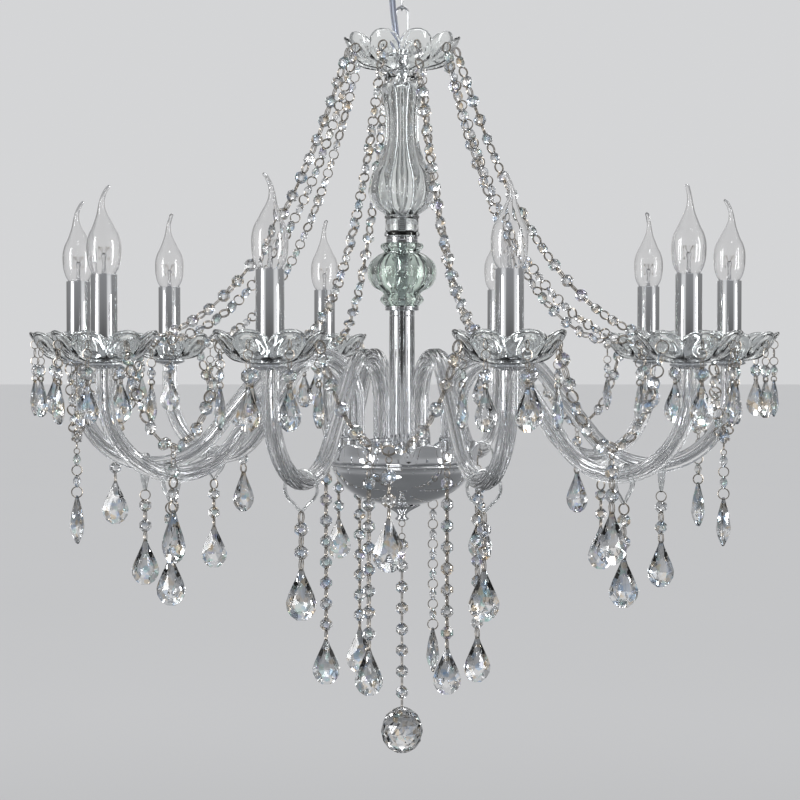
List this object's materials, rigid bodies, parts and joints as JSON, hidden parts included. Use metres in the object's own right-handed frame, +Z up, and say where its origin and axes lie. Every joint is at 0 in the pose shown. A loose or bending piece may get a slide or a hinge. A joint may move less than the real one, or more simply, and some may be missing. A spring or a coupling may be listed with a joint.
{
  "type": "crystal chandelier",
  "caption": "Hanging chandelier: glass arms with candle lamps on a glass and chrome stem, hung with crystal garlands and pendants, on a short chain from a ceiling canopy.",
  "frame": {"origin": "middle of the ceiling bracket's two screw holes, on the ceiling face", "axes": "+Z up, towards the ceiling; -Y towards the viewer; +X to the right"},
  "size_m": [0.8016, 0.771, 0.9125],
  "materials": {
    "steel": "zinc plated",
    "chrome": "polished",
    "clear_lead": "clear flat two-core",
    "clear_glass": "clear, ribbed",
    "green_glass": "pale green, moulded",
    "holder_plastic": "heat-proof",
    "bulb_glass": "clear",
    "crystal": "cut and polished"
  },
  "bodies": {
    "ceiling_fixing": {"ceiling_bracket": "steel", "ceiling_canopy": "chrome", "ceiling_hook": "chrome", "hook_nuts": "steel"},
    "chain": {"chain_links": "chrome", "lead_upper": "clear_lead"},
    "chandelier": {"lead_lower": "clear_lead", "stem_bow": "chrome", "crown_dish": "clear_glass", "glass_collars": "clear_glass", "stem_vase": "clear_glass", "stem_ball": "green_glass", "stem_rings": "chrome", "stem_tube": "chrome", "stem_rod": "steel", "hub_plate": "chrome", "arm_sockets": "chrome", "hub_bowl": "chrome", "bowl_finial": "chrome", "glass_arms": "clear_glass", "pan_seats": "chrome", "drip_pans": "clear_glass", "candle_sleeves": "chrome", "lamp_holders": "holder_plastic", "bulbs": "bulb_glass", "pan_drops": "crystal", "crown_garlands": "crystal"},
    "arm_drop_1": {"arm_drop_1": "crystal"},
    "arm_drop_2": {"arm_drop_2": "crystal"},
    "arm_drop_3": {"arm_drop_3": "crystal"},
    "arm_drop_4": {"arm_drop_4": "crystal"},
    "arm_drop_5": {"arm_drop_5": "crystal"},
    "arm_drop_6": {"arm_drop_6": "crystal"},
    "arm_drop_7": {"arm_drop_7": "crystal"},
    "arm_drop_8": {"arm_drop_8": "crystal"},
    "arm_drop_9": {"arm_drop_9": "crystal"},
    "arm_drop_10": {"arm_drop_10": "crystal"},
    "swag_1": {"swag_1": "crystal"},
    "swag_2": {"swag_2": "crystal"},
    "swag_3": {"swag_3": "crystal"},
    "swag_4": {"swag_4": "crystal"},
    "swag_5": {"swag_5": "crystal"},
    "swag_6": {"swag_6": "crystal"},
    "swag_7": {"swag_7": "crystal"},
    "swag_8": {"swag_8": "crystal"},
    "swag_9": {"swag_9": "crystal"},
    "swag_10": {"swag_10": "crystal"},
    "hub_strand_1": {"hub_strand_1": "crystal"},
    "hub_strand_2": {"hub_strand_2": "crystal"},
    "hub_strand_3": {"hub_strand_3": "crystal"},
    "hub_strand_4": {"hub_strand_4": "crystal"},
    "hub_strand_5": {"hub_strand_5": "crystal"},
    "hub_strand_6": {"hub_strand_6": "crystal"},
    "centre_strand": {"centre_strand": "crystal"}
  },
  "joints": [
    {"name": "chain_swing", "type": "hinge", "parent": "ceiling_fixing", "child": "chain", "pos_m": [0, 0, -0.0524], "axis": [1, 0, 0], "range_deg": [-20, 20]},
    {"name": "chandelier_swing", "type": "hinge", "parent": "chain", "child": "chandelier", "pos_m": [0, 0, -0.1193], "axis": [0, 1, 0], "range_deg": [-10, 10]},
    {"name": "arm_drop_1_swing", "type": "hinge", "parent": "chandelier", "child": "arm_drop_1", "pos_m": [-0.0944, -0.25936, -0.60209], "axis": [-0.342, -0.9397, 0], "range_deg": [-25, 25]},
    {"name": "arm_drop_2_swing", "type": "hinge", "parent": "chandelier", "child": "arm_drop_2", "pos_m": [0.07608, -0.26531, -0.60209], "axis": [0.2756, -0.9613, 0], "range_deg": [-25, 25]},
    {"name": "arm_drop_3_swing", "type": "hinge", "parent": "chandelier", "child": "arm_drop_3", "pos_m": [0.21749, -0.16992, -0.60209], "axis": [0.788, -0.6157, 0], "range_deg": [-25, 25]},
    {"name": "arm_drop_4_swing", "type": "hinge", "parent": "chandelier", "child": "arm_drop_4", "pos_m": [0.27583, -0.00963, -0.60209], "axis": [0.9994, -0.0349, 0], "range_deg": [-25, 25]},
    {"name": "arm_drop_5_swing", "type": "hinge", "parent": "chandelier", "child": "arm_drop_5", "pos_m": [0.22881, 0.15434, -0.60209], "axis": [0.829, 0.5592, 0], "range_deg": [-25, 25]},
    {"name": "arm_drop_6_swing", "type": "hinge", "parent": "chandelier", "child": "arm_drop_6", "pos_m": [0.0944, 0.25936, -0.60209], "axis": [0.342, 0.9397, 0], "range_deg": [-25, 25]},
    {"name": "arm_drop_7_swing", "type": "hinge", "parent": "chandelier", "child": "arm_drop_7", "pos_m": [-0.07608, 0.26531, -0.60209], "axis": [-0.2756, 0.9613, 0], "range_deg": [-25, 25]},
    {"name": "arm_drop_8_swing", "type": "hinge", "parent": "chandelier", "child": "arm_drop_8", "pos_m": [-0.21749, 0.16992, -0.60209], "axis": [-0.788, 0.6157, 0], "range_deg": [-25, 25]},
    {"name": "arm_drop_9_swing", "type": "hinge", "parent": "chandelier", "child": "arm_drop_9", "pos_m": [-0.27583, 0.00963, -0.60209], "axis": [-0.9994, 0.0349, 0], "range_deg": [-25, 25]},
    {"name": "arm_drop_10_swing", "type": "hinge", "parent": "chandelier", "child": "arm_drop_10", "pos_m": [-0.22881, -0.15434, -0.60209], "axis": [-0.829, -0.5592, 0], "range_deg": [-25, 25]},
    {"name": "swag_1_swing", "type": "hinge", "parent": "chandelier", "child": "swag_1", "pos_m": [-0.01203, -0.34448, -0.47204], "axis": [-0.9994, 0.0349, 0], "range_deg": [-12, 12]},
    {"name": "swag_2_swing", "type": "hinge", "parent": "chandelier", "child": "swag_2", "pos_m": [0.19275, -0.28576, -0.47204], "axis": [-0.829, -0.5592, 0], "range_deg": [-12, 12]},
    {"name": "swag_3_swing", "type": "hinge", "parent": "chandelier", "child": "swag_3", "pos_m": [0.32391, -0.11789, -0.47204], "axis": [-0.342, -0.9397, 0], "range_deg": [-12, 12]},
    {"name": "swag_4_swing", "type": "hinge", "parent": "chandelier", "child": "swag_4", "pos_m": [0.33134, 0.09501, -0.47204], "axis": [0.2756, -0.9613, 0], "range_deg": [-12, 12]},
    {"name": "swag_5_swing", "type": "hinge", "parent": "chandelier", "child": "swag_5", "pos_m": [0.21221, 0.27162, -0.47204], "axis": [0.788, -0.6157, 0], "range_deg": [-12, 12]},
    {"name": "swag_6_swing", "type": "hinge", "parent": "chandelier", "child": "swag_6", "pos_m": [0.01203, 0.34448, -0.47204], "axis": [0.9994, -0.0349, 0], "range_deg": [-12, 12]},
    {"name": "swag_7_swing", "type": "hinge", "parent": "chandelier", "child": "swag_7", "pos_m": [-0.19275, 0.28576, -0.47204], "axis": [0.829, 0.5592, 0], "range_deg": [-12, 12]},
    {"name": "swag_8_swing", "type": "hinge", "parent": "chandelier", "child": "swag_8", "pos_m": [-0.32391, 0.11789, -0.47204], "axis": [0.342, 0.9397, 0], "range_deg": [-12, 12]},
    {"name": "swag_9_swing", "type": "hinge", "parent": "chandelier", "child": "swag_9", "pos_m": [-0.33134, -0.09501, -0.47204], "axis": [-0.2756, 0.9613, 0], "range_deg": [-12, 12]},
    {"name": "swag_10_swing", "type": "hinge", "parent": "chandelier", "child": "swag_10", "pos_m": [-0.21221, -0.27162, -0.47204], "axis": [-0.788, 0.6157, 0], "range_deg": [-12, 12]},
    {"name": "hub_strand_1_swing", "type": "hinge", "parent": "chandelier", "child": "hub_strand_1", "pos_m": [-0.03383, -0.07256, -0.5786], "axis": [-0.9063, 0.4226, 0], "range_deg": [-3, 25]},
    {"name": "hub_strand_2_swing", "type": "hinge", "parent": "chandelier", "child": "hub_strand_2", "pos_m": [0.04592, -0.06558, -0.5786], "axis": [-0.8192, -0.5736, 0], "range_deg": [-3, 25]},
    {"name": "hub_strand_3_swing", "type": "hinge", "parent": "chandelier", "child": "hub_strand_3", "pos_m": [0.07976, 0.00698, -0.5786], "axis": [0.0872, -0.9962, 0], "range_deg": [-3, 25]},
    {"name": "hub_strand_4_swing", "type": "hinge", "parent": "chandelier", "child": "hub_strand_4", "pos_m": [0.03383, 0.07256, -0.5786], "axis": [0.9063, -0.4226, 0], "range_deg": [-3, 25]},
    {"name": "hub_strand_5_swing", "type": "hinge", "parent": "chandelier", "child": "hub_strand_5", "pos_m": [-0.04592, 0.06558, -0.5786], "axis": [0.8192, 0.5736, 0], "range_deg": [-3, 25]},
    {"name": "hub_strand_6_swing", "type": "hinge", "parent": "chandelier", "child": "hub_strand_6", "pos_m": [-0.07976, -0.00698, -0.5786], "axis": [-0.0872, 0.9962, 0], "range_deg": [-3, 25]},
    {"name": "centre_strand_swing", "type": "hinge", "parent": "chandelier", "child": "centre_strand", "pos_m": [0, 0, -0.6626], "axis": [1, 0, 0], "range_deg": [-20, 20]}
  ]
}
